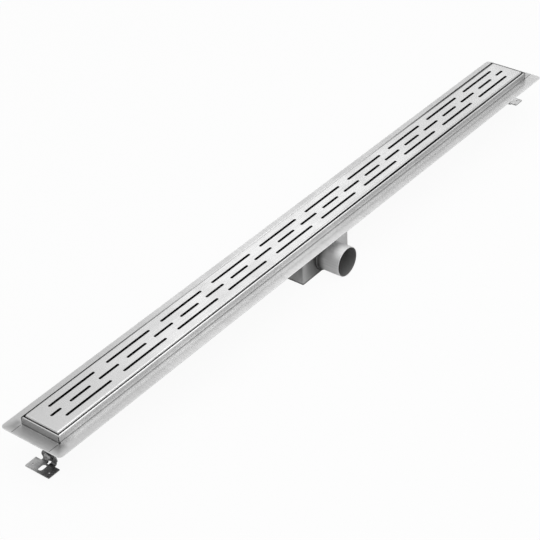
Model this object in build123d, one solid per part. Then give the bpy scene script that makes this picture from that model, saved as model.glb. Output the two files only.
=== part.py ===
from build123d import *
import os
from math import sqrt

# A linear shower drain: a folded stainless channel with a tiling flange all round,
# a slotted cover that rests in it, a trap box with a side outlet under its middle,
# and a levelling foot hung under each end.
# Millimetres. X runs along the channel, the outlet points along -Y, +Z is up, and
# the origin is the centre of the trap box's underside.

# Channel, folded from one sheet, and its two welded ends
sheet = 0.8
overall_length = 1000.0
upstand_width = 56.0
flange_reach = 17.0
flange_drop = 10.3  # from the rim down to the flange
channel_depth = 19.0  # from the rim down to the wet face of the floor
hem_gap = 0.1  # between the two skins of the folded rim
hem_crown = 0.02  # flat left along the top of the rim
flange_bend = 1.5  # radius inside the bend, as the other bends
floor_bend = 1.5
flange_corner = 6.0

# Trap box under the middle of the channel
box_length = 96.0
box_width = 51.0
box_height = 42.0
box_corner = 1.2

# Outlet spigot
outlet_low = 1.4  # from the underside of the box up to the pipe
outlet_margin = 0.6  # from the pipe up to the top of the box
outlet_wall = 1.0
outlet_reach = 33.7  # from the front of the box to the mouth
outlet_root = 2.5  # flare where the spigot meets the box
outlet_lip = 0.3

# Cover
cover_sheet = 1.5
cover_proud = 2.2  # above the rim
cover_clearance = 1.2  # to the inside of the rim, all round
cover_bend = 2.0  # radius outside the bend
cover_corner = 1.5

# Slots of the cover: two outer rows of long slots, a middle row of short ones
slot_width = 3.2
slot_row_spacing = 13.0
long_slots = 10
slot_end_margin = 15.1  # plain sheet beyond the middle row, at each end
long_bridge = 20.0  # plain sheet between two long slots of a row
short_bridge = 14.1

# Rubber pads clipped on the cover's skirt
pad_thickness = 2.2  # under the skirt
pad_height = 6.0
pad_length = 12.0
pad_outer_lip = 0.5
pad_inner_lip = 1.5
pad_stations = (-0.4, -0.135, 0.135, 0.4)  # of the overall length

# Odour trap that hangs in the floor of the channel
floor_hole = 41.0
seal_lip = 0.8
seal_clearance = 0.2
seal_inset = 0.4  # of its edge from the edge of the trap's flange
seal_thickness = 1.0
seal_depth = 1.5  # of its lip below the floor
trap_flange = 46.0
trap_flange_thickness = 1.5
dip_bore = 21.6
dip_wall = 1.2
dip_end_height = 12.0
cup_diameter = 37.0
cup_wall = 1.2
cup_base_height = 5.0
cup_rim_height = 30.0
cup_ribs = 3
rib_thickness = 1.5
rib_clearance = 0.05
rib_margin = 2.0  # rib ends below the cup's rim and above the end of the dip tube
strainer_sheet = 0.8
strainer_depth = 9.0
strainer_clearance = 0.3
strainer_rim = 1.2
strainer_hole = 2.4
strainer_ring = 6.0
strainer_holes = 8

# Levelling feet, one under each end
foot_level = 5.5  # underside of the base, at its lowest setting
foot_sheet = 1.5
foot_bend = 1.5
foot_setback = 6.5  # of the upright's outer face from the channel's end wall
foot_base_reach = 20.1  # from that face to the outer edge of the base
foot_base_width = 36.0
foot_base_corner = 1.0
foot_neck_width = 19.6  # of the upright at its bend
foot_neck_height = 3.5  # above the underside of the base
foot_shoulder = 3.0  # over which the neck widens
foot_upright_width = 23.2
foot_upright_height = 15.0  # above the underside of the base
foot_upright_corner = 8.0
anchor_slot_length = 11.0
anchor_slot_width = 6.4
anchor_slot_reach = 11.5  # from the upright's face to the middle of the slot
nail_hole = 2.4
nail_spacing = 25.0
nail_reach = 13.5
bracket_slot_length = 12.4
bracket_slot_runout = 1.3  # of that slot past the bend, into the base

# Hanging lug, with the slot that a foot is levelled along
lug_sheet = 2.0
lug_width = 16.0
lug_low = 7.0
lug_tab = 15.0
lug_bend = 1.0
lug_toe_flat = 0.2  # left under the rounded lower end
foot_travel = 18.0

# Clamp screw of a foot
screw_height = 15.0  # of its axis, at the foot's lowest setting
screw_diameter = 5.0
slot_clearance = 0.2
thread_clearance = 0.05
head_diameter = 9.6
head_height = 3.2
head_edge = 1.6
recess_length = 5.0
recess_width = 1.1
recess_depth = 1.4
washer_diameter = 12.0
washer_thickness = 1.0
nut_across_flats = 8.0
nut_height = 4.0
screw_tail = 2.5  # past the nut

# Heights and half widths that follow from these
floor_low = box_height
floor_top = floor_low + sheet
rim_top = floor_top + channel_depth
flange_top = rim_top - flange_drop
flange_low = flange_top - sheet
cover_top = rim_top + cover_proud
rim_thickness = 2 * sheet + hem_gap
hem_radius = (rim_thickness - hem_crown) / 2
upstand_half_length = overall_length / 2 - flange_reach
upstand_half_width = upstand_width / 2
inside_half_length = upstand_half_length - rim_thickness
inside_half_width = upstand_half_width - rim_thickness
flange_half_width = upstand_half_width + flange_reach
cover_half_length = inside_half_length - cover_clearance
cover_half_width = inside_half_width - cover_clearance
cover_low = floor_top + pad_thickness
slot_pitch = 2 * (cover_half_length - slot_end_margin) / long_slots
long_slot = slot_pitch - long_bridge
short_slot = slot_pitch / 2 - short_bridge
box_front = -box_width / 2
outlet_radius = (box_height - outlet_low - outlet_margin) / 2
outlet_bore = outlet_radius - outlet_wall
outlet_height = outlet_low + outlet_radius
dip_radius = dip_bore / 2 + dip_wall
trap_seat = floor_top + seal_thickness
foot_upright_x = upstand_half_length - foot_setback
anchor_slot_x = foot_upright_x + anchor_slot_reach
nail_x = foot_upright_x + nail_reach
lug_face_x = foot_upright_x - foot_sheet
slot_gap = screw_diameter + 2 * slot_clearance


def ribbon(points, radii, thickness, side):
    """Section of a folded sheet: one face follows the points, the other is offset to the side."""
    path = FilletPolyline(*points, radius=radii)
    return make_face(offset(path, amount=thickness, side=side, closed=True))


def turned(points, axis):
    """Solid of revolution whose section has the given corners, as (radius, height)."""
    section = Plane.XZ * make_face(Polyline(*points, close=True))
    return revolve(section, axis=axis)


def at_end(solid, end):
    """Place a solid modelled at the +X end: as it is at end 1, turned half round at end -1."""
    return solid if end > 0 else Rot(0, 0, 180) * solid


def flange_tab(end, side):
    """The rest of a long flange, beside a welded end, with its rounded outer corner."""
    reach = overall_length / 2 - inside_half_length
    tab = Pos(
        end * (inside_half_length + reach / 2),
        side * (upstand_half_width + flange_reach / 2),
        flange_low + sheet / 2,
    ) * Box(reach, flange_reach, sheet)
    corner = tab.edges().filter_by(Axis.Z).sort_by(
        lambda e: end * e.center().X + side * e.center().Y
    )[-1]
    return fillet(corner, flange_corner)


def channel_pan():
    """Floor, walls, folded rims and long flanges, one sheet folded lengthwise."""
    right = [
        (inside_half_width, floor_top),
        (inside_half_width, rim_top),
        (upstand_half_width, rim_top),
        (upstand_half_width, flange_top),
        (flange_half_width, flange_top),
    ]
    left = [(-y, z) for y, z in reversed(right)]
    right_radii = [floor_bend, hem_radius, hem_radius, flange_bend]
    section = ribbon(left + right, right_radii[::-1] + right_radii, sheet, Side.RIGHT)
    pan = extrude(Plane.YZ * section, inside_half_length, both=True)
    for end in (-1, 1):
        for side in (-1, 1):
            pan += flange_tab(end, side)
    hole = Pos(0, 0, floor_low + sheet / 2) * Cylinder(floor_hole / 2, 3 * sheet)
    return pan - hole


def end_cap(end):
    """A welded end: inner end wall, folded rim, outer end wall and end flange."""
    points = [
        (overall_length / 2, flange_top),
        (upstand_half_length, flange_top),
        (upstand_half_length, rim_top),
        (inside_half_length, rim_top),
        (inside_half_length, floor_low),
    ]
    section = ribbon(points, [flange_bend, hem_radius, hem_radius], sheet, Side.LEFT)
    cap = extrude(Plane.XZ * section, upstand_half_width, both=True)
    skin_half_width = inside_half_width + sheet
    spare = upstand_half_width - skin_half_width
    for side in (-1, 1):
        cap -= Pos(
            inside_half_length + sheet / 2,
            side * (skin_half_width + spare / 2),
            (flange_low + floor_low) / 2,
        ) * Box(2 * sheet, spare, flange_low - floor_low)
    return at_end(cap, end)


def slot_pattern():
    """Plan of every slot in the cover."""
    first = -(long_slots - 1) / 2 * slot_pitch
    long_ones = [
        Pos(first + i * slot_pitch, row * slot_row_spacing) * SlotOverall(long_slot, slot_width)
        for i in range(long_slots)
        for row in (-1, 1)
    ]
    middle_count = 2 * long_slots - 1
    step = slot_pitch / 2
    short_ones = [
        Pos((i - (middle_count - 1) / 2) * step, 0) * SlotOverall(short_slot, slot_width)
        for i in range(middle_count)
    ]
    end_slot = short_slot / 2
    pattern_end = long_slots * step
    half_ones = [
        Pos(end * (pattern_end - end_slot / 2), 0) * SlotOverall(end_slot, slot_width)
        for end in (-1, 1)
    ]
    return long_ones + short_ones + half_ones


def cover():
    """Slotted cover, a tray of sheet folded down all round."""
    height = cover_top - cover_low
    body = Pos(0, 0, cover_top - height / 2) * Box(
        2 * cover_half_length, 2 * cover_half_width, height
    )
    body = fillet(body.edges().filter_by(Axis.Z), cover_corner)
    body = fillet(body.faces().sort_by(Axis.Z)[-1].edges(), cover_bend)
    hollow = Pos(0, 0, cover_top - cover_sheet - height / 2) * Box(
        2 * (cover_half_length - cover_sheet), 2 * (cover_half_width - cover_sheet), height
    )
    hollow = fillet(
        hollow.faces().sort_by(Axis.Z)[-1].edges(), cover_bend - cover_sheet
    )
    body -= hollow
    cutters = [
        extrude(Pos(0, 0, cover_top - 2 * cover_sheet) * slot, 3 * cover_sheet)
        for slot in slot_pattern()
    ]
    return body - cutters


def cover_pad(station, side):
    """Rubber pad clipped on the lower edge of the cover's skirt."""
    outer = cover_half_width + pad_outer_lip
    inner = cover_half_width - cover_sheet - pad_inner_lip
    section = Polyline(
        (inner, floor_top),
        (outer, floor_top),
        (outer, floor_top + pad_height),
        (cover_half_width, floor_top + pad_height),
        (cover_half_width, cover_low),
        (cover_half_width - cover_sheet, cover_low),
        (cover_half_width - cover_sheet, floor_top + pad_height),
        (inner, floor_top + pad_height),
        close=True,
    )
    face = make_face(section)
    heel = face.vertices().sort_by(lambda v: v.Y - v.X)[0]
    face = fillet(heel, floor_bend + pad_outer_lip / 2)
    pad = extrude(Plane.YZ * face, pad_length / 2, both=True)
    if side < 0:
        pad = mirror(pad, Plane.XZ)
    return Pos(station, 0, 0) * pad


def trap_wall():
    """Front, back and ends of the trap box, one strip bent round, open at the outlet."""
    outer = RectangleRounded(box_length, box_width, box_corner)
    inner = RectangleRounded(box_length - 2 * sheet, box_width - 2 * sheet, box_corner - sheet)
    wall = extrude(Pos(0, 0, sheet) * (outer - inner), floor_low - sheet)
    port = Pos(0, box_front, outlet_height) * Rot(90, 0, 0) * Cylinder(outlet_bore, 4 * sheet)
    return wall - port


def trap_base():
    """Flat bottom of the trap box, welded under its wall."""
    return extrude(RectangleRounded(box_length, box_width, box_corner), sheet)


def outlet_pipe():
    """Outlet spigot, with a flare at the box that is dressed flush with the box's height."""
    mouth = box_front - outlet_reach
    tube = Polyline(
        (outlet_bore, box_front),
        (outlet_bore, mouth),
        (outlet_radius, mouth),
        (outlet_radius, box_front - outlet_root),
    )
    flare = RadiusArc(
        (outlet_radius, box_front - outlet_root),
        (outlet_radius + outlet_root, box_front),
        -outlet_root,
    )
    closing = Line((outlet_radius + outlet_root, box_front), (outlet_bore, box_front))
    section = make_face([tube, flare, closing])
    pipe = revolve(
        Pos(0, 0, outlet_height) * section, axis=Axis((0, 0, outlet_height), (0, 1, 0))
    )
    lip = pipe.edges().filter_by(GeomType.CIRCLE).sort_by(Axis.Y)[0:2]
    outside = lip.sort_by(lambda e: e.radius)[-1]
    pipe = fillet(outside, outlet_lip)
    dressed = Pos(0, box_front - outlet_reach / 2, box_height / 2) * Box(
        4 * outlet_radius, 2 * outlet_reach, box_height
    )
    return pipe & dressed


def seal_ring():
    """Rubber ring with a lip into the hole of the channel's floor."""
    lip_radius = floor_hole / 2 - seal_clearance
    return turned(
        [
            (lip_radius - seal_lip, trap_seat),
            (trap_flange / 2 - seal_inset, trap_seat),
            (trap_flange / 2 - seal_inset, floor_top),
            (lip_radius, floor_top),
            (lip_radius, floor_low - seal_depth),
            (lip_radius - seal_lip, floor_low - seal_depth),
        ],
        Axis.Z,
    )


def dip_tube():
    """Tube that hangs from its flange and dips into the water of the cup."""
    top = trap_seat + trap_flange_thickness
    return turned(
        [
            (dip_bore / 2, dip_end_height),
            (dip_radius, dip_end_height),
            (dip_radius, trap_seat),
            (trap_flange / 2, trap_seat),
            (trap_flange / 2, top),
            (dip_bore / 2, top),
        ],
        Axis.Z,
    )


def trap_cup():
    """Cup that holds the water seal, with ribs that grip the dip tube."""
    radius = cup_diameter / 2
    bore = radius - cup_wall
    cup = turned(
        [
            (0, cup_base_height),
            (radius, cup_base_height),
            (radius, cup_rim_height),
            (bore, cup_rim_height),
            (bore, cup_base_height + cup_wall),
            (0, cup_base_height + cup_wall),
        ],
        Axis.Z,
    )
    low = dip_end_height + rib_margin
    high = cup_rim_height - rib_margin
    inner = dip_radius + rib_clearance
    length = bore + cup_wall / 2 - inner
    for i in range(cup_ribs):
        rib = Pos(inner + length / 2, 0, (low + high) / 2) * Box(
            length, rib_thickness, high - low
        )
        cup += Rot(0, 0, 90 + i * 360 / cup_ribs) * rib
    return cup


def hair_strainer():
    """Small perforated basket that sits in the mouth of the dip tube."""
    top = trap_seat + trap_flange_thickness + strainer_sheet
    outside = dip_bore / 2 - strainer_clearance
    bottom = top - strainer_depth
    basket = turned(
        [
            (0, bottom),
            (outside, bottom),
            (outside, top - strainer_sheet),
            (outside + strainer_rim, top - strainer_sheet),
            (outside + strainer_rim, top),
            (outside - strainer_sheet, top),
            (outside - strainer_sheet, bottom + strainer_sheet),
            (0, bottom + strainer_sheet),
        ],
        Axis.Z,
    )
    drill = Pos(0, 0, bottom) * Cylinder(strainer_hole / 2, 4 * strainer_sheet)
    ring = [Rot(0, 0, i * 360 / strainer_holes) * Pos(strainer_ring, 0, 0) * drill
            for i in range(strainer_holes)]
    return basket - [drill] - ring


def foot_lug(end):
    """Lug welded under the channel's end, with the slot that the foot is levelled along."""
    points = [
        (lug_face_x, lug_low),
        (lug_face_x, floor_low),
        (lug_face_x - lug_sheet - lug_tab, floor_low),
    ]
    section = ribbon(points, [lug_bend + lug_sheet], lug_sheet, Side.LEFT)
    lug = extrude(Plane.XZ * section, lug_width / 2, both=True)
    toe = lug.edges().filter_by(Axis.X).group_by(Axis.Z)[0]
    lug = fillet(toe, (lug_width - lug_toe_flat) / 2)
    slot = SlotCenterToCenter(foot_travel, slot_gap, rotation=90)
    middle = screw_height + foot_travel / 2
    lug -= Pos(lug_face_x, 0, middle) * extrude(Plane.YZ * slot, 2 * lug_sheet, both=True)
    return at_end(lug, end)


def beside_upright(top):
    """What is cut from one side of a foot's blank, beside the neck and the upright."""
    low = foot_level - foot_sheet
    high = top + foot_sheet
    neck_top = foot_level + foot_neck_height
    aside = foot_base_width / 2 + foot_sheet
    outline = Polyline(
        (foot_neck_width / 2, low),
        (foot_neck_width / 2, neck_top),
        (foot_upright_width / 2, neck_top + foot_shoulder),
        (foot_upright_width / 2, high),
        (aside, high),
        (aside, low),
        close=True,
    )
    back_x = lug_face_x - foot_sheet
    bend_end = foot_upright_x + foot_bend + foot_sheet
    return Pos(back_x, 0, 0) * extrude(Plane.YZ * make_face(outline), bend_end - back_x)


def foot_bracket(end):
    """Foot folded from one blank: a slotted base, and a rounded upright on a narrower neck."""
    base_top = foot_level + foot_sheet
    top = foot_level + foot_upright_height
    outer_x = foot_upright_x + foot_base_reach
    points = [(outer_x, base_top), (foot_upright_x, base_top), (foot_upright_x, top)]
    section = ribbon(points, [foot_bend], foot_sheet, Side.LEFT)
    bracket = extrude(Plane.XZ * section, foot_base_width / 2, both=True)
    beside = beside_upright(top)
    bracket -= [beside, mirror(beside, about=Plane.XZ)]
    crown = bracket.edges().filter_by(Axis.X).group_by(Axis.Z)[-1]
    bracket = fillet(crown, foot_upright_corner)
    corners = bracket.edges().filter_by(Axis.Z).group_by(Axis.X)[-1]
    bracket = fillet(corners, foot_base_corner)
    anchor = SlotOverall(anchor_slot_length, anchor_slot_width)
    bracket -= Pos(anchor_slot_x, 0, foot_level) * extrude(anchor, 2 * foot_sheet, both=True)
    for side in (-1, 1):
        bracket -= Pos(nail_x, side * nail_spacing / 2, base_top) * Cylinder(
            nail_hole / 2, 4 * foot_sheet
        )
    height_slot = SlotOverall(bracket_slot_length, slot_gap, rotation=90)
    middle = screw_height + slot_gap / 2 - bracket_slot_length / 2
    reach = foot_upright_x + foot_bend + foot_sheet + bracket_slot_runout - lug_face_x
    bracket -= Pos(lug_face_x, 0, middle) * extrude(Plane.YZ * height_slot, reach)
    return at_end(bracket, end)


def foot_screw(end):
    """Pan-head screw that clamps the foot to its lug."""
    seat_x = foot_upright_x + washer_thickness
    tail_x = lug_face_x - lug_sheet - nut_height - screw_tail
    radius = head_diameter / 2
    shank = Pos(tail_x, 0, 0) * Rot(0, 90, 0) * Cylinder(
        screw_diameter / 2, seat_x - tail_x, align=(Align.CENTER, Align.CENTER, Align.MIN)
    )
    head = Pos(seat_x, 0, 0) * Rot(0, 90, 0) * Cylinder(
        radius, head_height, align=(Align.CENTER, Align.CENTER, Align.MIN)
    )
    head = fillet(head.faces().sort_by(Axis.X)[-1].edges(), head_edge)
    for angle in (45, 135):
        head -= Pos(seat_x + head_height, 0, 0) * Rot(angle, 0, 0) * Box(
            2 * recess_depth, recess_length, recess_width
        )
    return at_end(Pos(0, 0, screw_height) * (shank + head), end)


def foot_washer(end):
    """Flat washer under the head of the screw."""
    plate = Cylinder(washer_diameter / 2, washer_thickness) - Cylinder(
        screw_diameter / 2 + slot_clearance, 2 * washer_thickness
    )
    place = Pos(foot_upright_x + washer_thickness / 2, 0, screw_height) * Rot(0, 90, 0)
    return at_end(place * plate, end)


def foot_nut(end):
    """Hexagon nut behind the lug."""
    across_corners = nut_across_flats * 2 / sqrt(3)
    body = extrude(RegularPolygon(across_corners / 2, 6), nut_height / 2, both=True)
    body -= Cylinder(screw_diameter / 2 + thread_clearance, 2 * nut_height)
    place = Pos(lug_face_x - lug_sheet - nut_height / 2, 0, screw_height) * Rot(0, 90, 0)
    return at_end(place * body, end)


def all_parts():
    """Every piece of the drain, by the name of its file."""
    parts = {
        "channel_pan": channel_pan(),
        "cover": cover(),
        "trap_wall": trap_wall(),
        "trap_base": trap_base(),
        "outlet_pipe": outlet_pipe(),
        "seal_ring": seal_ring(),
        "dip_tube": dip_tube(),
        "trap_cup": trap_cup(),
        "hair_strainer": hair_strainer(),
    }
    pads = [(share * overall_length, side) for side in (-1, 1) for share in pad_stations]
    for number, (station, side) in enumerate(pads, start=1):
        parts[f"cover_pad_{number}"] = cover_pad(station, side)
    for name, end in (("near", -1), ("far", 1)):
        parts[f"{name}_end_cap"] = end_cap(end)
        parts[f"{name}_foot_lug"] = foot_lug(end)
        parts[f"{name}_foot_bracket"] = foot_bracket(end)
        parts[f"{name}_foot_screw"] = foot_screw(end)
        parts[f"{name}_foot_washer"] = foot_washer(end)
        parts[f"{name}_foot_nut"] = foot_nut(end)
    return parts


os.makedirs("parts", exist_ok=True)
for node, solid in all_parts().items():
    export_step(solid, f"parts/{node}.step")
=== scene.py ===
"""Looks of a linear shower drain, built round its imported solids.

A folded stainless channel with a slotted cover, a trap box with a side outlet
under its middle and a levelling foot under each end. Everything is in metres unless
it says millimetres, in the frame of the solids: X along the channel, the outlet
along -Y, Z up.
"""

import logging
import math
from dataclasses import dataclass
from enum import Enum
from typing import Callable, Sequence

import bmesh
import bpy
from mathutils import Euler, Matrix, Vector


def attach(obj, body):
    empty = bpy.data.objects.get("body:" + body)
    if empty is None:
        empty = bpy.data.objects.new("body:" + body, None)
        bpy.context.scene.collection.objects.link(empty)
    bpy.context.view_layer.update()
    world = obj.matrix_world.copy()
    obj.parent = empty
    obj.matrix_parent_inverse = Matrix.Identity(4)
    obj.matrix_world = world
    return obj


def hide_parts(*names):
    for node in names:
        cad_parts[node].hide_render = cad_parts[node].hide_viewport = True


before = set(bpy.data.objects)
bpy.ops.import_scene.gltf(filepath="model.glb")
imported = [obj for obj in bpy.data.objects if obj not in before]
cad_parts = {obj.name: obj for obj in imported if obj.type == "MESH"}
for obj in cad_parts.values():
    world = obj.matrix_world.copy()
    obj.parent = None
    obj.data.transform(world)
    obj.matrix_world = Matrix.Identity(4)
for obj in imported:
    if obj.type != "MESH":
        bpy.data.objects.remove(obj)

LOG = logging.getLogger("drain")
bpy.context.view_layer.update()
MM = 0.001

Socket = bpy.types.NodeSocket
Point = tuple[float, float, float]
Colour = tuple[float, float, float, float]
Plan = tuple[float, float]

# Half length and half width of what goes round the middle, and two heights.
FLANGE_PLAN: Plan = (0.5, 0.045)
UPSTAND_PLAN: Plan = (0.483, 0.028)
BOX_PLAN: Plan = (0.048, 0.0255)
FLANGE_TOP = 0.0515
RIM_TOP = 0.0618
# Both sides of Y, with the word for each.
SIDES = ((-1, "front"), (1, "back"))
# Point that the lamps face.
LAMP_AIM: Point = (0.0, 0.0, 0.05)


class End(Enum):
    """The two ends of the channel, with the side of X that each is on."""

    NEAR = -1
    FAR = 1

    @property
    def prefix(self) -> str:
        """Word that the names of this end's nodes begin with."""
        return self.name.lower()


class Body(Enum):
    """Bodies that pieces ride on."""

    DRAIN = "drain"
    NEAR_FOOT = "near_foot"
    FAR_FOOT = "far_foot"


class Slot(Enum):
    """Material slots of the record, passed along when a piece is added."""

    CHANNEL = "channel_steel"
    FOOT = "foot_steel"


class Grain(Enum):
    """How the strokes of a finish are stretched, as noise scales per metre along X, Y and Z."""

    ACROSS_CHANNEL = (2600.0, 55.0, 55.0)
    ALONG_CHANNEL = (45.0, 2600.0, 2600.0)
    LEVEL = (60.0, 60.0, 2400.0)
    ALONG_PIPE = (1900.0, 50.0, 1900.0)


class Effect(Enum):
    """Shared effects, each a node group of this name."""

    GRAIN = "brushed_grain"
    PATINA = "handled_patina"
    BORDER = "rubbed_edge_and_highlight"
    FOLD = "painted_fold_line"
    MOTTLE = "rolled_mottle"
    HIDDEN = "shaded_hidden_faces"
    RESIDUE = "painted_gap_shade"
    ROOT = "root_tint_and_shade"
    SLOT_SHADE = "painted_slot_shade"
    STAIN = "painted_foot_shade"


def grey(level: float) -> Colour:
    """A neutral colour of one linear level."""
    return (level, level, level, 1.0)


def within_one(value: float) -> float:
    """The value, kept within 0 and 1."""
    return max(0.0, min(1.0, value))


class Value:
    """A node's output, with arithmetic that places Math nodes."""

    def __init__(self, board: "NodeBoard", socket: Socket) -> None:
        """Keep the output and the board that it is on."""
        self.board = board
        self.socket = socket

    def __add__(self, other: "Term") -> "Value":
        """Sum of both."""
        return self.board.maths("ADD", self, other)

    def __sub__(self, other: "Term") -> "Value":
        """What is left when the other is taken away."""
        return self.board.maths("SUBTRACT", self, other)

    def __rsub__(self, other: float) -> "Value":
        """What is left of a number when this is taken away."""
        return self.board.maths("SUBTRACT", other, self)

    def __mul__(self, other: "Term") -> "Value":
        """Product of both."""
        return self.board.maths("MULTIPLY", self, other)

    def __abs__(self) -> "Value":
        """Its size without a sign."""
        return self.board.maths("ABSOLUTE", self)

    def __lt__(self, other: "Term") -> "Value":
        """1 where it is less than the other, else 0."""
        return self.board.maths("LESS_THAN", self, other)

    def __gt__(self, other: "Term") -> "Value":
        """1 where it is more than the other, else 0."""
        return self.board.maths("GREATER_THAN", self, other)

    def most(self, other: "Term") -> "Value":
        """The larger of both."""
        return self.board.maths("MAXIMUM", self, other)


Term = Value | float


class NodeBoard:
    """A node tree with short calls to place and join nodes."""

    def __init__(self, tree: bpy.types.NodeTree) -> None:
        """Keep the tree of a material, a world or a node group, emptied."""
        self.tree = tree
        tree.nodes.clear()

    def feed(self, node: bpy.types.Node, values: dict[str | int, object]) -> bpy.types.Node:
        """Set or link a node's inputs.

        Args:
            node: Node whose inputs are set.
            values: A number, a colour or another node's output for each input.

        Returns:
            The same node.
        """
        for name, value in values.items():
            if isinstance(value, Value):
                self.tree.links.new(value.socket, node.inputs[name])
            else:
                node.inputs[name].default_value = value
        return node

    def value(self, kind: str, values: dict[str | int, object], output: str | int = 0,
              **settings: object) -> Value:
        """Place a node and give one of its outputs.

        Args:
            kind: Type name of the node.
            values: A number, a colour or another node's output for each input.
            output: Name or number of the output.
            **settings: Attributes to set on the node.

        Returns:
            The output.
        """
        node = self.tree.nodes.new(kind)
        for name, setting in settings.items():
            setattr(node, name, setting)
        return Value(self, self.feed(node, values).outputs[output])

    def maths(self, operation: str, *terms: Term) -> Value:
        """Place a Math node and give its result."""
        return self.value("ShaderNodeMath", dict(enumerate(terms)), operation=operation)

    def distance(self, first: Value, second: Value) -> Value:
        """Distance that two legs at a right angle span."""
        return self.maths("SQRT", first * first + second * second)

    def ramp(self, value: Value, low: Term, high: Term, start: float = 0.0,
             stop: float = 1.0) -> Value:
        """Map a value smoothly onto a new range.

        Args:
            value: Value to map.
            low: Where the old range begins.
            high: Where the old range ends.
            start: Result at low.
            stop: Result at high.

        Returns:
            The mapped value.
        """
        return self.value(
            "ShaderNodeMapRange",
            {"Value": value, "From Min": low, "From Max": high, "To Min": start, "To Max": stop},
            "Result", interpolation_type="SMOOTHSTEP")

    def fade(self, value: Value, reach: Term) -> Value:
        """1 where a value is 0 or less, and smoothly less up to a reach."""
        return self.ramp(value, 0.0, reach, 1.0, 0.0)

    def noise(self, scale: Term, detail: float = 3.0, roughness: float = 0.55,
              distortion: float = 0.0, vector: Value | None = None) -> Value:
        """Place a noise texture and give its value.

        Args:
            scale: Its scale.
            detail: Number of octaves.
            roughness: Share of each finer octave.
            distortion: How far it is warped.
            vector: Where it is read, or nothing for the position on the object.

        Returns:
            The noise's value.
        """
        return self.value("ShaderNodeTexNoise", {
            "Vector": vector or self.place(), "Scale": scale, "Detail": detail,
            "Roughness": roughness, "Distortion": distortion})

    def tint(self, colour: Value | Colour, mask: Value, tone: float,
             share: float = 1.0) -> Value:
        """Lay a grey over a colour.

        Args:
            colour: Colour below.
            mask: Where the grey lies.
            tone: Linear level of the grey.
            share: How far it covers the colour there.

        Returns:
            The new colour.
        """
        return self.value("ShaderNodeMix", {0: mask * share, 6: colour, 7: grey(tone)}, 2,
                          data_type="RGBA")

    def place(self) -> Value:
        """Position on the object, in metres of the shared frame."""
        return self.value("ShaderNodeTexCoord", {}, "Object")

    def axes(self, vector: Value | None = None) -> list[Value]:
        """X, Y and Z of a vector, or of the position on the object."""
        split = self.tree.nodes.new("ShaderNodeSeparateXYZ")
        self.feed(split, {0: vector or self.place()})
        return [Value(self, output) for output in split.outputs]

    def group(self, effect: Effect, plan: Plan | None = None, **inputs: object) -> list[Value]:
        """Place a shared effect.

        Args:
            effect: The effect.
            plan: Half length and half width, for an effect that takes them.
            **inputs: A number, a vector or a node's output for each other input that is set,
                back_level for Back Level and so on.

        Returns:
            Its outputs.
        """
        node = self.tree.nodes.new("ShaderNodeGroup")
        node.node_tree = bpy.data.node_groups[effect.value]
        self.feed(node, dict(zip(("Half Length", "Half Width"), plan or ())))
        self.feed(node, {name.replace("_", " ").title(): value for name, value in inputs.items()})
        return [Value(self, output) for output in node.outputs]

    def mix_shaders(self, share: Value, first: Value, second: Value) -> Value:
        """Mix two shaders, by the share of the second."""
        return self.value("ShaderNodeMixShader", {0: share, 1: first, 2: second})

    def show(self, shader: Value, kind: str = "ShaderNodeOutputMaterial") -> None:
        """Join a shader to the output of the material or the world."""
        self.feed(self.tree.nodes.new(kind), {"Surface": shader})


def new_effect(effect: Effect, takes: dict[str, float | Point], gives: Sequence[str]) -> tuple[
        NodeBoard, dict[str, Value], bpy.types.Node]:
    """Make an empty shader group with its sockets.

    Args:
        effect: Effect that it is for.
        takes: Its inputs, with the value that each has unless set.
        gives: Its outputs.

    Returns:
        Its board, its inputs by name and its output node.
    """
    tree = bpy.data.node_groups.new(effect.value, "ShaderNodeTree")
    for label, value in takes.items():
        kind = "NodeSocketVector" if isinstance(value, tuple) else "NodeSocketFloat"
        socket = tree.interface.new_socket(label, in_out="INPUT", socket_type=kind)
        socket.default_value = value
    for label in gives:
        tree.interface.new_socket(label, in_out="OUTPUT", socket_type="NodeSocketFloat")
    board = NodeBoard(tree)
    entry = tree.nodes.new("NodeGroupInput")
    inputs = {label: Value(board, entry.outputs[label]) for label in takes}
    return board, inputs, tree.nodes.new("NodeGroupOutput")


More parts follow.
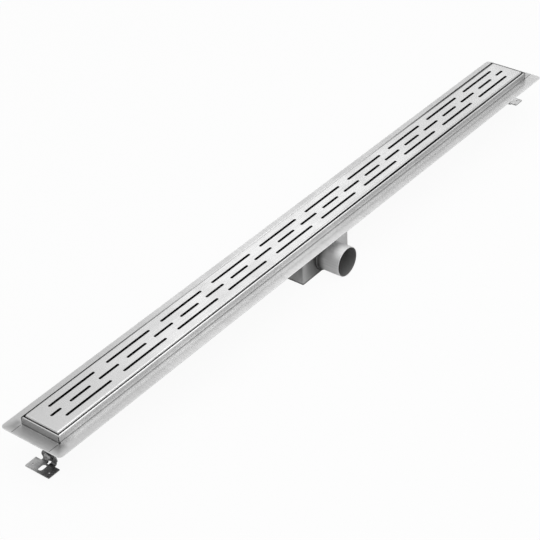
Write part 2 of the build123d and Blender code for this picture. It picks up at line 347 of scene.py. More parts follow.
class Effects:
    """Effects that several finishes share, each a node group."""

    def build(self) -> None:
        """Make every group once."""
        self.brushed_grain()
        self.handled_patina()
        self.rubbed_edge_and_highlight()
        self.painted_fold_line()
        self.rolled_mottle()
        self.shaded_hidden_faces()
        self.painted_gap_shade()
        self.root_tint_and_shade()
        self.painted_slot_shade()
        self.painted_foot_shade()

    @staticmethod
    def brushed_grain() -> None:
        """Fine strokes of a brushed sheet, and a coarser set between them."""
        board, takes, gives = new_effect(
            Effect.GRAIN, {"Stretch": (1.0, 1.0, 1.0)}, ("Strokes", "Height"))
        stretched = board.value("ShaderNodeVectorMath", {0: board.place(), 1: takes["Stretch"]},
                                operation="MULTIPLY")
        fine = board.noise(1.0, detail=4.0, roughness=0.7, vector=stretched)
        coarse = board.noise(0.23, roughness=0.6, vector=stretched)
        both = coarse * 0.55 + fine * 0.45
        board.feed(gives, {"Strokes": board.ramp(both, 0.34, 0.66), "Height": fine})

    @staticmethod
    def handled_patina() -> None:
        """Soft smudges left by handling, and fine specks."""
        board, takes, gives = new_effect(
            Effect.PATINA, {"Smudge Scale": 18.0, "Speck Scale": 900.0}, ("Smudges", "Specks"))
        smudge = board.noise(takes["Smudge Scale"], detail=5.0, roughness=0.6, distortion=0.6)
        speck = board.noise(takes["Speck Scale"], detail=2.0, roughness=0.5)
        board.feed(gives, {"Smudges": board.ramp(smudge, 0.36, 0.68),
                           "Specks": board.ramp(speck, 0.62, 0.74)})

    @staticmethod
    def rubbed_edge_and_highlight() -> None:
        """Band along the outline of a rectangle round the Z axis, as on a cut or rubbed edge; on
        the cover's bent edge it is a painted highlight.
        """
        board, takes, gives = new_effect(
            Effect.BORDER, {"Half Length": 0.5, "Half Width": 0.05, "Band": 0.001}, ("Border",))
        x, y, _ = board.axes()
        nearest = board.maths("MINIMUM", takes["Half Length"] - abs(x),
                              takes["Half Width"] - abs(y))
        uneven = board.noise(140.0)
        board.feed(gives, {"Border": board.fade(abs(nearest), takes["Band"] * (uneven + 0.5))})

    @staticmethod
    def painted_fold_line() -> None:
        """Line along a fold that goes round a rectangle at one height, where painted shade and
        painted highlights are laid.
        """
        board, takes, gives = new_effect(
            Effect.FOLD,
            {"Half Length": 0.5, "Half Width": 0.03, "Level": 0.05, "Spread": 0.001,
             "Start": -1.0, "Stop": 2.0}, ("Painted Line",))
        begin_run, end_run = 0.006, 0.018
        x, y, z = board.axes()
        aside = (abs(x) - takes["Half Length"]).most(abs(y) - takes["Half Width"])
        uneven = board.noise(90.0)
        along_fold = board.fade(board.distance(aside, z - takes["Level"]),
                           takes["Spread"] * (uneven + 0.6))
        begun = board.ramp(x * -1.0, takes["Start"], takes["Start"] + begin_run)
        ended = board.ramp(abs(x), takes["Stop"] - end_run, takes["Stop"], 1.0, 0.0)
        board.feed(gives, {"Painted Line": along_fold * begun * ended})

    @staticmethod
    def rolled_mottle() -> None:
        """Cloudy patches and crystal grains of mill sheet and of zinc plating."""
        board, takes, gives = new_effect(
            Effect.MOTTLE, {"Patch Scale": 160.0, "Grain Scale": 700.0}, ("Patches", "Grains"))
        patch = board.noise(takes["Patch Scale"], detail=5.0, roughness=0.65, distortion=0.4)
        crystal = board.value(
            "ShaderNodeTexVoronoi", {"Vector": board.place(), "Scale": takes["Grain Scale"]},
            "Color", feature="F1")
        board.feed(gives, {"Patches": board.ramp(patch, 0.38, 0.64),
                           "Grains": board.value("ShaderNodeSeparateColor", {0: crystal})})

    @staticmethod
    def shaded_hidden_faces() -> None:
        """Faces inside a box round the Z axis that look aside or down, as cut slot walls do, where
        the finishes lay painted shade.
        """
        board, takes, gives = new_effect(
            Effect.HIDDEN,
            {"Half Length": 0.48, "Half Width": 0.025, "Top": 0.06, "Least Tilt": 0.5}, ("Hidden",))
        x, y, z = board.axes()
        facing = board.axes(board.value("ShaderNodeNewGeometry", {}, "Normal"))[2]
        inside = (abs(x) < takes["Half Length"]) * (abs(y) < takes["Half Width"])
        turned = (z < takes["Top"]) * (facing < takes["Least Tilt"])
        strength = board.maths("MINIMUM", board.noise(300.0, detail=2.0) * 0.3 + 0.8, 1.0)
        board.feed(gives, {"Hidden": inside * turned * strength})

    @staticmethod
    def painted_gap_shade() -> None:
        """Painted shade in the gap round the cover.

        At the back it grows towards both ends; at the front it runs from the middle to the far end.
        """
        board, takes, gives = new_effect(
            Effect.RESIDUE, {"Half Length": 0.48, "Half Width": 0.025, "Back Level": 0.0636,
                             "Front Level": 0.062, "Spread": 0.0018}, ("Residue",))
        end_inset, full_share = 0.0009, 0.45
        x, y, z = board.axes()
        aside = abs(y) - takes["Half Width"]
        past_end = x - takes["Half Length"] + end_inset
        at_back = y > 0.0
        back_share = at_back * board.ramp(abs(x), 0.05, 0.40)
        front_share = ((1.0 - at_back) * board.ramp(x, -0.30, 0.0)
                       * board.ramp(x, 0.20, 0.46, 1.0, 0.45))
        lines = []
        for level, off, share, wide in (
                ("Back Level", aside, back_share, board.ramp(x, 0.1, 0.45, 1.3, 2.4)),
                ("Front Level", aside, front_share, board.ramp(x, 0.0, 0.2, 1.0, 1.5)),
                ("Back Level", past_end, 1.0, 1.7)):
            far_off = board.distance(off, z - takes[level])
            spread = takes["Spread"] * wide
            lines.append(board.ramp(far_off, spread * full_share, spread, 1.0, 0.0) * share)
        back, front, far_end = lines
        board.feed(gives, {"Residue": back.most(front).most(far_end)})

    @staticmethod
    def root_tint_and_shade() -> None:
        """Heat tint and painted shade round the root of the spigot, on it and on the box."""
        board, takes, gives = new_effect(
            Effect.ROOT, {"Radius": 0.02, "Axis Height": 0.0214, "Root": 0.0255,
                          "Spread": 0.014, "Shift": 0.0}, ("Tint", "Inside"))
        wall = 0.0006
        x, y, z = board.axes()
        radius = board.distance(x - takes["Shift"], z - takes["Axis Height"])
        aside = radius - takes["Radius"]
        uneven = board.noise(60.0) * 0.5 + 0.75
        tint = board.fade(board.distance(aside.most(0.0), y + takes["Root"]),
                          takes["Spread"] * uneven)
        board.feed(gives, {"Tint": tint, "Inside": aside < -wall})

    @staticmethod
    def painted_slot_shade() -> None:
        """Painted shade round each slot of a row of slots, wider towards the far end."""
        board, takes, gives = new_effect(
            Effect.SLOT_SHADE, {"Row": 0.013, "Pitch": 0.093, "Shift": 0.0465, "Half Run": 0.0349,
                               "Radius": 0.0016, "Spread": 0.0004, "Reach": 0.48}, ("Edge",))
        x, y, _ = board.axes()
        from_slot = board.maths("PINGPONG", x - takes["Shift"], takes["Pitch"] * 0.5)
        past_run = (from_slot - takes["Half Run"]).most(0.0)
        outside = board.distance(past_run, abs(y) - takes["Row"]) - takes["Radius"]
        spread = takes["Spread"] * board.ramp(x, -0.4, 0.4, 0.75, 1.75)
        board.feed(gives, {"Edge": board.fade(outside, spread) * (abs(x) < takes["Reach"])})

    @staticmethod
    def painted_foot_shade() -> None:
        """Painted shade on the near foot, deeper towards its front and its bend, and fainter
        painted shade all over the far foot.
        """
        board, _, gives = new_effect(Effect.STAIN, {}, ("Stain",))
        far_shade = 0.37
        x, y, _ = board.axes()
        uneven = board.noise(180.0, detail=4.0) * 0.008 + -0.004
        front = board.ramp(y + uneven, -0.008, 0.012, 1.0, 0.0)
        bend = board.ramp(abs(x) + uneven, 0.478, 0.484, 1.0, 0.0)
        near = x < 0.0
        board.feed(gives, {"Stain": (front.most(bend) * near).most((1.0 - near) * far_shade)})


@dataclass(frozen=True)
class Finish:
    """A surface finish that makes one Blender material.

    Attributes:
        name: Name of the material.
        tone: Linear level of the clean material.
        roughness: Its roughness where it is clean.
    """

    name: str
    tone: float
    roughness: float

    def material(self) -> bpy.types.Material:
        """The Blender material of this finish, made at the first call."""
        material = bpy.data.materials.get(self.name)
        if not material:
            material = bpy.data.materials.new(self.name)
            material.use_nodes = True
            self.paint(NodeBoard(material.node_tree))
        return material

    def paint(self, board: NodeBoard) -> None:
        """Place the material's nodes on its board."""
        raise NotImplementedError

    @staticmethod
    def coat(board: NodeBoard, colour: Value, rough: Value, relief: Value, strength: float,
             depth: float, metallic: float = 1.0) -> None:
        """Join colour, roughness and relief to the material's output.

        Args:
            board: Board of the material.
            colour: Its colour.
            rough: Its roughness.
            relief: Height that tilts its normal.
            strength: How far the relief shows.
            depth: Depth of the relief, in metres.
            metallic: 1 for metal, 0 for plastic and rubber.
        """
        normal = board.value("ShaderNodeBump",
                             {"Strength": strength, "Distance": depth, "Height": relief})
        board.show(board.value("ShaderNodeBsdfPrincipled", {
            "Base Color": colour, "Metallic": metallic, "Roughness": rough, "Normal": normal}))


@dataclass(frozen=True)
class Mark:
    """A mark of another tone that an effect lays on brushed metal, most often painted shade or a
    painted highlight.

    Attributes:
        effect: Effect that says where it lies.
        tone: Linear level of the mark.
        share: How far it covers the metal.
        plan: Half length and half width of the rectangle that it goes round.
        sizes: The effect's other inputs that are set, in metres.
        output: Number of the effect's output that is read.
    """

    effect: Effect
    tone: float
    share: float = 1.0
    plan: Plan | None = None
    sizes: dict[str, float] | None = None
    output: int = 0

    def mask(self, board: NodeBoard) -> Value:
        """Where the mark lies, on the board of a material."""
        return board.group(self.effect, self.plan, **(self.sizes or {}))[self.output]


@dataclass(frozen=True)
class BrushedSteel(Finish):
    """Stainless sheet with brush strokes, smudges, an outline band, and marks of painted shade and
    painted highlights.

    Attributes:
        grain: Direction of the strokes.
        stroke_share: How far the strokes darken the metal.
        stroke_depth: Height of the strokes in metres.
        outline: Half length and half width of the band along the outline, in metres.
        outline_band: Width of that outline.
        edge_band_tone: Level of that band; on the cover it is a painted highlight on the bent edge.
        marks: Marks laid over the metal, the lowest first; most are painted shade and painted
            highlights.
        hidden_plan: Half length and half width of the box in which faces are rougher and painted
            dark as shade.
        hidden_top: Top of that box.
        hidden_tilt: Upward tilt under which its faces are so treated, or 2 for all of them.
        inside_shade_tone: Level of the painted shade on those faces.
    """

    grain: Grain
    stroke_share: float = 0.14
    stroke_depth: float = 0.00002
    outline: Plan = FLANGE_PLAN
    outline_band: float = 0.0012
    edge_band_tone: float = 0.86
    marks: tuple[Mark, ...] = ()
    hidden_plan: Plan = (0.4812, 0.0262)
    hidden_top: float = 0.0608
    hidden_tilt: float = 2.0
    inside_shade_tone: float = 0.03

    def paint(self, board: NodeBoard) -> None:
        """Place the nodes of the brushed metal."""
        strokes, height = board.group(Effect.GRAIN, stretch=self.grain.value)
        smudges, specks = board.group(Effect.PATINA, smudge_scale=14.0, speck_scale=1100.0)
        border, = board.group(Effect.BORDER, self.outline, band=self.outline_band)
        hidden, = board.group(Effect.HIDDEN, self.hidden_plan, top=self.hidden_top,
                              least_tilt=self.hidden_tilt)
        # Where each layer lies, its tone and how far it covers what is under it. The marks and the
        # hidden faces are mostly painted shade and painted highlights.
        layers = ((strokes, self.tone * 0.35, self.stroke_share),
                  (smudges, self.tone * 0.5, 0.10),
                  (specks, min(1.0, self.tone * 1.25), 0.06),
                  (border, self.edge_band_tone, 0.7),
                  *((mark.mask(board), mark.tone, mark.share) for mark in self.marks),
                  (hidden, self.inside_shade_tone, 1.0))
        colour = grey(self.tone)
        for mask, tone, share in layers:
            colour = board.tint(colour, mask, tone, share)
        rough = smudges * 0.07 + self.roughness + strokes * 0.08 + hidden * 0.25
        self.coat(board, colour, rough, height, strength=0.35, depth=self.stroke_depth)


@dataclass(frozen=True)
class MillSteel(Finish):
    """Plain mill sheet or zinc plating, mottled and a little rough.

    Attributes:
        dark_tone: Linear level of the patches.
        patch_scale: Scale of the patches per metre.
        grain_scale: Scale of the crystal grains per metre.
        patch_share: How far the patches show.
        stain: How far the painted shade towards its front and its bend shows.
    """

    dark_tone: float
    patch_scale: float = 160.0
    grain_scale: float = 900.0
    patch_share: float = 0.55
    stain: float = 0.0

    def paint(self, board: NodeBoard) -> None:
        """Place the nodes of the mottled metal."""
        patches, grains = board.group(Effect.MOTTLE, patch_scale=self.patch_scale,
                                      grain_scale=self.grain_scale)
        smudges, specks = board.group(Effect.PATINA, smudge_scale=60.0, speck_scale=1500.0)
        colour = board.tint(grey(self.tone), patches, self.dark_tone, self.patch_share)
        colour = board.tint(colour, grains, min(1.0, self.tone * 1.3), share=0.18)
        colour = board.tint(colour, smudges, self.dark_tone * 0.8, share=0.25)
        if self.stain:
            stain, = board.group(Effect.STAIN)
            colour = board.tint(colour, stain, self.dark_tone * 0.3, self.stain)
        colour = board.tint(colour, specks, min(1.0, self.tone * 1.4), share=0.3)
        rough = smudges * 0.15 + self.roughness + grains * 0.12
        self.coat(board, colour, rough, patches, strength=0.4, depth=0.00005)


@dataclass(frozen=True)
class WeldMetal(Finish):
    """Weld bead: rippled, oxidised between its ripples.

    Attributes:
        dark_tone: Linear level of the oxide.
    """

    dark_tone: float

    def paint(self, board: NodeBoard) -> None:
        """Place the nodes of the weld metal."""
        smudges, _ = board.group(Effect.PATINA, smudge_scale=320.0, speck_scale=2400.0)
        patches, grains = board.group(Effect.MOTTLE, patch_scale=700.0, grain_scale=2600.0)
        oxide = board.tint(grey(self.tone), smudges, self.dark_tone, share=0.8)
        grained = board.tint(oxide, grains, self.tone * 1.2, share=0.2)
        rough = patches * 0.25 + self.roughness
        self.coat(board, grained, rough, patches, strength=0.5, depth=0.00008)


@dataclass(frozen=True)
class Moulding(Finish):
    """Moulded plastic or rubber with a fine texture and dust."""

    def paint(self, board: NodeBoard) -> None:
        """Place the nodes of the moulded material."""
        smudges, specks = board.group(Effect.PATINA, smudge_scale=55.0, speck_scale=1800.0)
        patches, grains = board.group(Effect.MOTTLE, patch_scale=240.0, grain_scale=3000.0)
        dusty = board.tint(grey(self.tone), smudges, tone=0.22, share=0.15)
        specked = board.tint(dusty, specks, tone=0.3, share=0.25)
        rough = patches * 0.18 + self.roughness
        self.coat(board, specked, rough, grains, strength=0.3, depth=0.00006, metallic=0.0)


def rings_to_mesh(rings: Sequence[Sequence[Vector]], closed: bool) -> bmesh.types.BMesh:
    """Skin a row of equal rings of points.

    Args:
        rings: The rings, each with the same number of points.
        closed: Whether the last ring joins the first.

    Returns:
        A closed mesh, capped at its ends unless the rings close on themselves.
    """
    bm = bmesh.new()
    rows = [[bm.verts.new(point) for point in ring] for ring in rings]
    count = len(rows[0])
    pairs = list(zip(rows, rows[1:]))
    if closed:
        pairs.append((rows[-1], rows[0]))
    for low, high in pairs:
        for i in range(count):
            j = (i + 1) % count
            bm.faces.new((low[i], low[j], high[j], high[i]))
    if not closed:
        bm.faces.new(list(reversed(rows[0])))
        bm.faces.new(rows[-1])
    return bm


@dataclass
class WeldBead:
    """A rippled bead along a path.

    Attributes:
        path: Corners of the path, in millimetres.
        across: Half width of the bead, in millimetres.
        proud: How far it stands off the path, in millimetres.
        outward: Direction that it stands off in.
        ripple: Length of a ripple, in millimetres.
        closed: Whether the path closes on itself.
        blob: How much thicker the bead is where it starts.
        ring_points: Points round the bead.
        rings_per_ripple: Rings in each ripple.
        tip: Thickness of the bead at its tips, as a share.
        tip_growth: How much of it each ring adds from there.
        wave: How much thicker the crest of a ripple is than its valley.
        lean: How far the rings lean to and fro, as a share of a ripple.
        lean_turn: Angle by which that lean goes on at each ring.
    """

    path: Sequence[Point]
    across: float
    proud: float
    outward: Callable[[Vector], Vector]
    ripple: float = 0.8
    closed: bool = False
    blob: float = 0.0
    ring_points: int = 8
    rings_per_ripple: int = 4
    tip: float = 0.35
    tip_growth: float = 0.22
    wave: float = 0.18
    lean: float = 0.18
    lean_turn: float = 1.7

    def stations(self) -> list[Vector]:
        """Evenly spaced points along the path, in metres."""
        corners = [Vector(corner) * MM for corner in self.path]
        if self.closed:
            corners.append(corners[0])
        step = self.ripple * MM / self.rings_per_ripple
        points: list[Vector] = []
        for start, stop in zip(corners, corners[1:]):
            count = max(1, round((stop - start).length / step))
            points += [start.lerp(stop, i / count) for i in range(count)]
        return points if self.closed else [*points, corners[-1]]

    def mesh(self) -> bmesh.types.BMesh:
        """Sweep the rippled section along the path.

        Returns:
            The bead.
        """
        points = self.stations()
        last = len(points) - 1
        turns = [k * math.tau / self.ring_points for k in range(self.ring_points)]
        rings = []
        for i, point in enumerate(points):
            before = points[i - 1] if self.closed or i else point
            after = points[(i + 1) % len(points)] if self.closed or i < last else point
            along = (after - before).normalized()
            out = self.outward(point)
            side = along.cross(out).normalized()
            taper = min(1.0, self.tip + min(i, last - i) * self.tip_growth)
            crest = 0.5 + 0.5 * math.cos(i * math.tau / self.rings_per_ripple)
            swell = (1.0 - self.wave + self.wave * crest) * (1.0 if self.closed else taper)
            swell *= 1.0 + self.blob * math.exp(-(point - points[0]).length / (self.across * MM))
            middle = point + along * (self.ripple * MM * self.lean * math.sin(i * self.lean_turn))
            rings.append([middle + side * (math.cos(turn) * self.across * MM * swell)
                          + out * (math.sin(turn) * self.proud * MM * swell) for turn in turns])
        return rings_to_mesh(rings, self.closed)


def always(*direction: float) -> Callable[[Vector], Vector]:
    """An outward direction that is the same all along a bead."""
    unit = Vector(direction).normalized()
    return lambda point: unit


class Piece:
    """Adds meshes to the scene and dresses the solids' nodes."""

    weld: Finish

    @staticmethod
    def dress(node: str, finish: Finish) -> None:
        """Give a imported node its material.

        Args:
            node: Name of the node.
            finish: Its finish.
        """
        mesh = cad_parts[node].data
        mesh.materials.clear()
        mesh.materials.append(finish.material())
        LOG.info("dressed %s in %s", node, finish.name)

    @staticmethod
    def add(name: str, bm: bmesh.types.BMesh, finish: Finish, body: Body,
            slot: Slot) -> bpy.types.Object:
        """Turn a bmesh into a piece that rides on a body.

        Args:
            name: Name of the piece.
            bm: Its mesh, freed here.
            finish: Its finish.
            body: Body that it moves with.
            slot: Material slot of the record; not used.

        Returns:
            The new object.
        """
        bmesh.ops.recalc_face_normals(bm, faces=bm.faces)
        mesh = bpy.data.meshes.new(name)
        bm.to_mesh(mesh)
        bm.free()
        for polygon in mesh.polygons:
            polygon.use_smooth = True
        mesh.materials.append(finish.material())
        piece = bpy.data.objects.new(name, mesh)
        bpy.context.scene.collection.objects.link(piece)
        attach(piece, body.value)
        LOG.info("built %s with %d faces on %s", name, len(mesh.polygons), body.value)
        return piece

    def lay_bead(self, name: str, bead: WeldBead, slot: Slot = Slot.CHANNEL) -> None:
        """Add a weld bead to the fixed body.

        Args:
            name: Name of the piece.
            bead: The bead.
            slot: Material slot of the record.
        """
        self.add(name, bead.mesh(), self.weld, Body.DRAIN, slot)


@dataclass
class Channel(Piece):
    """Folded channel with its welded ends.

    Attributes:
        half_length: Half the overall length, in millimetres.
        end_wall: X of the outer face of an end wall.
        side_wall: Y of the outer face of a long wall.
        inner_wall: Y of the wet face of a long wall.
        inner_end: X of the wet face of an end wall.
        floor: Height of the wet floor.
        rim: Height of the rim.
        flange: Height of the flange's top.
        corner_bead: Half width of the beads on the outer corners.
        corner_inset: How far inside the walls' outer faces these beads run.
        sunk_root: How far under the flange's top they start.
        rim_fold: Height of the rim's fold, under which they stop.
        flange_fold: Reach of the fold between an end wall and its flange.
        edge_margin: How far from the flange's edge the seam across it stops.
        ground: How far the axis of that seam lies under the flange's top.
        floor_fold: Reach of the fold between the floor and a wall.
        cover_seat: Depth under the rim that the inner beads leave free for the cover.
        residue: Painted shade in the gap round the cover.
        weld: Finish of the beads.
    """

    half_length: float = 500.0
    end_wall: float = 483.0
    side_wall: float = 28.0
    inner_wall: float = 26.3
    inner_end: float = 481.3
    floor: float = 42.8
    rim: float = 61.8
    flange: float = 51.5
    corner_bead: float = 0.52
    corner_inset: float = 0.25
    sunk_root: float = 0.3
    rim_fold: float = 1.0
    flange_fold: float = 1.6
    edge_margin: float = 0.5
    ground: float = 0.02
    floor_fold: float = 1.4
    cover_seat: float = 4.0
    residue: Mark = Mark(
        Effect.RESIDUE, tone=0.02, plan=(0.4816, 0.0265),
        sizes=dict(back_level=0.0617, front_level=0.0615, spread=0.0009))
    weld: Finish = WeldMetal("seam_weld", 0.07, 0.45, dark_tone=0.02)

    def build(self) -> None:
        """Dress the sheets and add the seams."""
        self.dress("channel_pan", self.steel())
        for end in End:
            self.dress(f"{end.prefix}_end_cap", self.end_steel())
            for side, word in SIDES:
                self.corner_seams(end, side, f"{end.prefix}_{word}")
            self.floor_seam(end)

    def steel(self) -> Finish:
        """Finish of the long sheet: painted shade and painted highlights along its folds, a painted
        highlight on the rim and painted shade in the gap.
        """
        return BrushedSteel(
            "channel_sheet", 0.63, 0.32, Grain.ACROSS_CHANNEL, stroke_share=0.07,
            stroke_depth=0.00001, marks=(
                # Painted shade on the upright walls.
                Mark(Effect.FOLD, 0.42, 0.72, UPSTAND_PLAN, dict(level=0.0570, spread=0.0052)),
                # Painted highlight on the flange beside the walls, stopping short of the ends.
                Mark(Effect.FOLD, 0.95, 0.85, (0.4865, 0.0315),
                     dict(level=FLANGE_TOP, spread=0.0046, stop=0.478)),
                # Painted shade on the flange at the near end.
                Mark(Effect.FOLD, 0.30, 0.75, (0.4905, 0.0335),
                     dict(level=FLANGE_TOP, spread=0.0090, start=0.478)),
                # Painted shade in the fold at the walls' foot.
                Mark(Effect.FOLD, 0.10, 0.8, UPSTAND_PLAN, dict(level=0.0518, spread=0.0016)),
                # Painted highlight on the rim.
                Mark(Effect.FOLD, 1.0, 1.0, (0.48205, 0.02745),
                     dict(level=RIM_TOP, spread=0.0018)),
                # Painted shade in the gap round the cover.
                self.residue))

    def end_steel(self) -> Finish:
        """Finish of the ends: painted shade on the flange and in the fold, a painted highlight on
        the rim and painted shade in the gap.
        """
        return BrushedSteel(
            "end_sheet", 0.60, 0.40, Grain.ALONG_PIPE, marks=(
                # Painted shade on the flange at the near end.
                Mark(Effect.FOLD, 0.30, 0.6, (0.4910, 0.0360),
                     dict(level=FLANGE_TOP, spread=0.010, start=0.478)),
                # Painted shade in the fold at the wall's foot.
                Mark(Effect.FOLD, 0.03, 0.9, UPSTAND_PLAN, dict(level=0.0518, spread=0.0015)),
                # Painted highlight on the rim.
                Mark(Effect.FOLD, 0.75, 0.8, (0.4822, 0.0272),
                     dict(level=RIM_TOP, spread=0.0014)),
                # Painted shade in the gap round the cover.
                self.residue))

    def corner_seams(self, end: End, side: int, prefix: str) -> None:
        """Beads of a corner: up its outside, across the flange, and up its inside.

        Args:
            end: End of the channel.
            side: Side of Y.
            prefix: Beginning of the beads' names.
        """
        x = end.value * (self.end_wall - self.corner_inset)
        y = side * (self.side_wall - self.corner_inset)
        low, high = self.flange - self.sunk_root, self.rim - self.rim_fold
        self.lay_bead(f"{prefix}_corner_seam", WeldBead(
            ((x, y, low), (x, y, high)), across=self.corner_bead, proud=self.corner_bead,
            outward=always(end.value, side, 0), blob=1.6))
        start = end.value * (self.end_wall + self.flange_fold)
        stop = end.value * (self.half_length - self.edge_margin)
        y, z = side * self.side_wall, self.flange - self.ground
        self.lay_bead(f"{prefix}_flange_seam", WeldBead(
            ((start, y, z), (stop, y, z)), across=0.42, proud=0.09, outward=always(0, 0, 1)))
        x, y = end.value * self.inner_end, side * self.inner_wall
        low, high = self.floor + self.floor_fold, self.rim - self.cover_seat
        self.lay_bead(f"{prefix}_inner_seam", WeldBead(
            ((x, y, low), (x, y, high)), across=0.5, proud=0.4,
            outward=always(-end.value, -side, 0)))

    def floor_seam(self, end: End) -> None:
        """Bead under the channel, along the edge where an end wall meets the floor."""
        inset, corner, under = 0.1, 1.6, 1.02
        x, y = end.value * (self.inner_end - inset), self.inner_wall - corner
        z = self.floor - under
        self.lay_bead(f"{end.prefix}_floor_seam", WeldBead(
            ((x, -y, z), (x, y, z)), across=0.7, proud=0.3, outward=always(0, 0, -1)))


@dataclass
class Cover(Piece):
    """Slotted cover and the pads under its skirt.

    Attributes:
        half_length: Half its length, in metres.
        half_width: Half its width, in metres.
        bend: How far its folded edge reaches in from its outline, in metres.
        lip: How far inside its outline the painted gap shade lies, in metres.
        pads: Number of pads.
    """

    half_length: float = 0.4801
    half_width: float = 0.0251
    bend: float = 0.0016
    lip: float = 0.0002
    pads: int = 8

    def inset(self, by: float) -> Plan:
        """Half length and half width of its outline, moved in."""
        return (self.half_length - by, self.half_width - by)

    def build(self) -> None:
        """Dress the cover and its pads."""
        self.dress("cover", BrushedSteel(
            "cover_sheet", 0.71, 0.28, Grain.ALONG_CHANNEL, stroke_share=0.05,
            # The outline band is a painted highlight along the cover's bent edge.
            outline=self.inset(0.0), outline_band=0.0016, edge_band_tone=0.92, marks=(
                # Painted shade in the gap along the cover's edge.
                Mark(Effect.RESIDUE, tone=0.02, plan=self.inset(self.lip),
                     sizes=dict(back_level=0.0634, front_level=0.0612, spread=0.0017)),
                # Painted shade round the slots.
                *(Mark(Effect.SLOT_SHADE, tone=0.012, sizes=slots) for slots in (
                    dict(row=0.013, pitch=0.093, shift=0.0465, half_run=0.0349, reach=0.4655),
                    dict(row=0.0, pitch=0.0465, shift=0.0, half_run=0.0146, reach=0.4445),
                    dict(row=0.0, pitch=0.9138, shift=0.4569, half_run=0.0065, reach=0.47)))),
            # Slot walls and the underside are painted near black as shade.
            hidden_plan=self.inset(self.bend), hidden_top=0.0639, hidden_tilt=0.5,
            inside_shade_tone=0.01))
        rubber = Moulding("pad_rubber", 0.03, 0.62)
        for number in range(1, self.pads + 1):
            self.dress(f"cover_pad_{number}", rubber)


@dataclass
class TrapBox(Piece):
    """Trap box with its outlet spigot.

    Attributes:
        half_length: Half the box's length, in millimetres.
        half_width: Half its width.
        height: Its height.
        corner: Radius of its upright edges.
        weld: Finish of its beads.
    """

    half_length: float = 48.0
    half_width: float = 25.5
    height: float = 42.0
    corner: float = 1.2
    weld: Finish = WeldMetal("box_weld", 0.40, 0.34, dark_tone=0.12)

    def build(self) -> None:
        """Dress the box and its spigot and add their welds."""
        self.dress("trap_wall", BrushedSteel(
            "box_sheet", 0.84, 0.28, Grain.LEVEL, outline=BOX_PLAN, outline_band=0.0008,
            # The inside of the box is painted dark as shade.
            edge_band_tone=0.7, hidden_plan=(0.0471, 0.0246), hidden_top=0.043, marks=(
                # Painted shade on the box's near end face.
                Mark(Effect.FOLD, 0.30, 0.8, BOX_PLAN,
                     dict(level=0.030, spread=0.030, start=0.0435)),
                # Painted shade along the box's bottom edge.
                Mark(Effect.FOLD, 0.10, 0.7, BOX_PLAN, dict(level=0.0, spread=0.003)),
                # Heat tint and painted shade round the spigot's root on the box.
                Mark(Effect.ROOT, 0.07, 0.55, sizes=dict(spread=0.022, shift=-0.010)))))
        self.dress("trap_base", BrushedSteel(
            "base_sheet", 0.55, 0.32, Grain.ALONG_CHANNEL, outline=BOX_PLAN, edge_band_tone=0.7,
            # Painted shade along the base's edge.
            marks=(Mark(Effect.FOLD, 0.12, 0.75, BOX_PLAN, dict(level=0.0, spread=0.0016)),)))
        self.dress("outlet_pipe", BrushedSteel(
            "pipe_wall", 0.84, 0.52, Grain.ALONG_PIPE, outline=(1.0, 0.0592),
            outline_band=0.0009, edge_band_tone=0.9, marks=(
                # Heat tint and painted shade at the spigot's root.
                Mark(Effect.ROOT, 0.07, 0.95, sizes=dict(spread=0.014)),
                # Painted shade inside the spigot's bore.
                Mark(Effect.ROOT, 0.42, sizes=dict(spread=0.014), output=1))))
        self.lay_bead("base_seam", WeldBead(
            self.outline(inset=0.12, z=1.0), across=0.45, proud=0.12,
            outward=self.out_from_middle, ripple=1.0, closed=True))
        self.lay_bead("top_seam", WeldBead(
            self.outline(inset=-0.1, z=self.height - 0.5), across=0.9, proud=0.5,
            outward=self.out_from_middle, ripple=1.4, closed=True))

    def outline(self, inset: float, z: float, steps: int = 6) -> list[Point]:
        """Corners of the box's rounded plan.

        Args:
            inset: How far inside the plan, in millimetres.
            z: Height of the outline.
            steps: Points on each rounded corner, less one.

        Returns:
            The points, in millimetres.
        """
        radius = self.corner - inset
        points = []
        for quarter in range(4):
            sign_x = 1 if quarter in (0, 3) else -1
            sign_y = 1 if quarter in (0, 1) else -1
            centre = (sign_x * (self.half_length - self.corner),
                      sign_y * (self.half_width - self.corner))
            for step in range(steps + 1):
                turn = (quarter + step / steps) * math.pi / 2
                points.append((centre[0] + radius * math.cos(turn),
                               centre[1] + radius * math.sin(turn), z))
        return points

    @staticmethod
    def out_from_middle(point: Vector) -> Vector:
        """Level direction away from the box's nearest wall."""
        if abs(point.x) - BOX_PLAN[0] > abs(point.y) - BOX_PLAN[1]:
            return Vector((math.copysign(1.0, point.x), 0.0, 0.0))
        return Vector((0.0, math.copysign(1.0, point.y), 0.0))


@dataclass
class OdourTrap(Piece):
    """Odour trap that hangs in the channel's floor.

    Attributes:
        moulded: Nodes of its moulded parts.
        plastic: Finish of these.
        rubber: Finish of the seal ring.
    """

    moulded: tuple[str, ...] = ("dip_tube", "trap_cup", "hair_strainer")
    plastic: Finish = Moulding("trap_moulding", 0.07, 0.38)
    rubber: Finish = Moulding("seal_rubber", 0.025, 0.6)

    def build(self) -> None:
        """Dress the trap."""
        self.dress("seal_ring", self.rubber)
        for node in self.moulded:
            self.dress(node, self.plastic)


